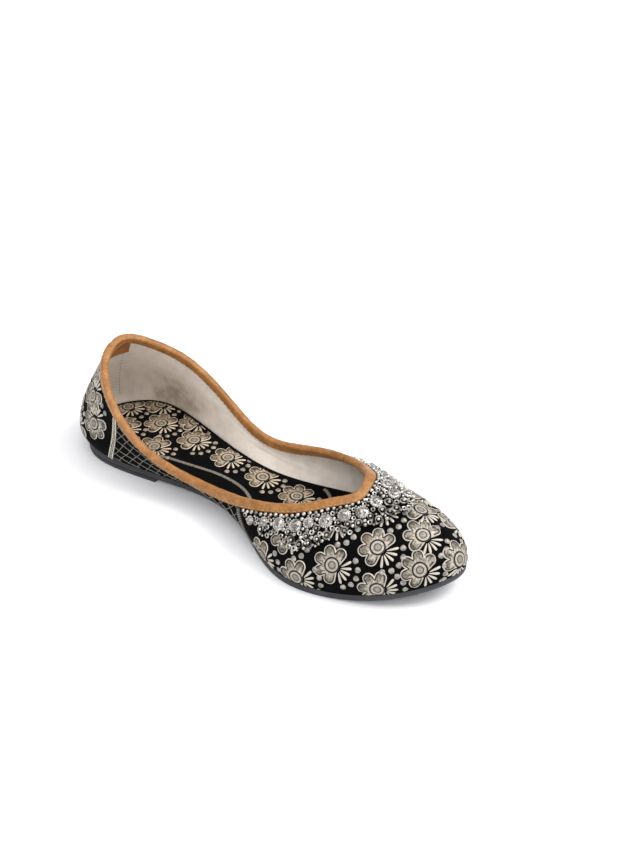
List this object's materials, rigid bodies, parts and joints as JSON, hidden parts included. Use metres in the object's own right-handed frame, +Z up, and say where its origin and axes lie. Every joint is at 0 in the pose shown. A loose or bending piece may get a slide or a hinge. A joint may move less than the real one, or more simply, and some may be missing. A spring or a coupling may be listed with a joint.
{
  "type": "mojari shoe",
  "caption": "Flat slip-on mojari shoe with a round toe, low vamp, rolled collar binding, thin sole and low heel lift.",
  "frame": {"origin": "on the floor, under the middle of the heel, at the centre of the heel lift's flat underside", "axes": "+X from the heel to the toe, +Y towards the shoe's inner side, +Z up"},
  "size_m": [0.2443, 0.0802, 0.0623],
  "materials": {
    "sole_rubber": "moulded black rubber, matte",
    "printed_velvet": "black velvet with raised champagne foil flowers",
    "canvas_lining": "cream woven canvas",
    "tan_leather": "rolled tan leather, satin",
    "tab_leather": "tan-brown leather, matte",
    "foil_print": "champagne foil print, satin",
    "stitch_thread": "cream thread",
    "metallic_braid": "metallic yarn braid",
    "silver_beads": "bright silver-plated beads and settings",
    "clear_stones": "clear cut stones backed with foil"
  },
  "bodies": {
    "root": {"outsole": "sole_rubber", "heel_lift": "sole_rubber", "insole": "printed_velvet", "upper": "printed_velvet", "collar_binding": "tan_leather", "heel_tab": "tab_leather", "braid_heel_outer": "metallic_braid", "braid_heel_inner": "metallic_braid", "braid_vamp_outer": "metallic_braid", "braid_vamp_inner": "metallic_braid", "bead_trim": "silver_beads"}
  },
  "joints": []
}
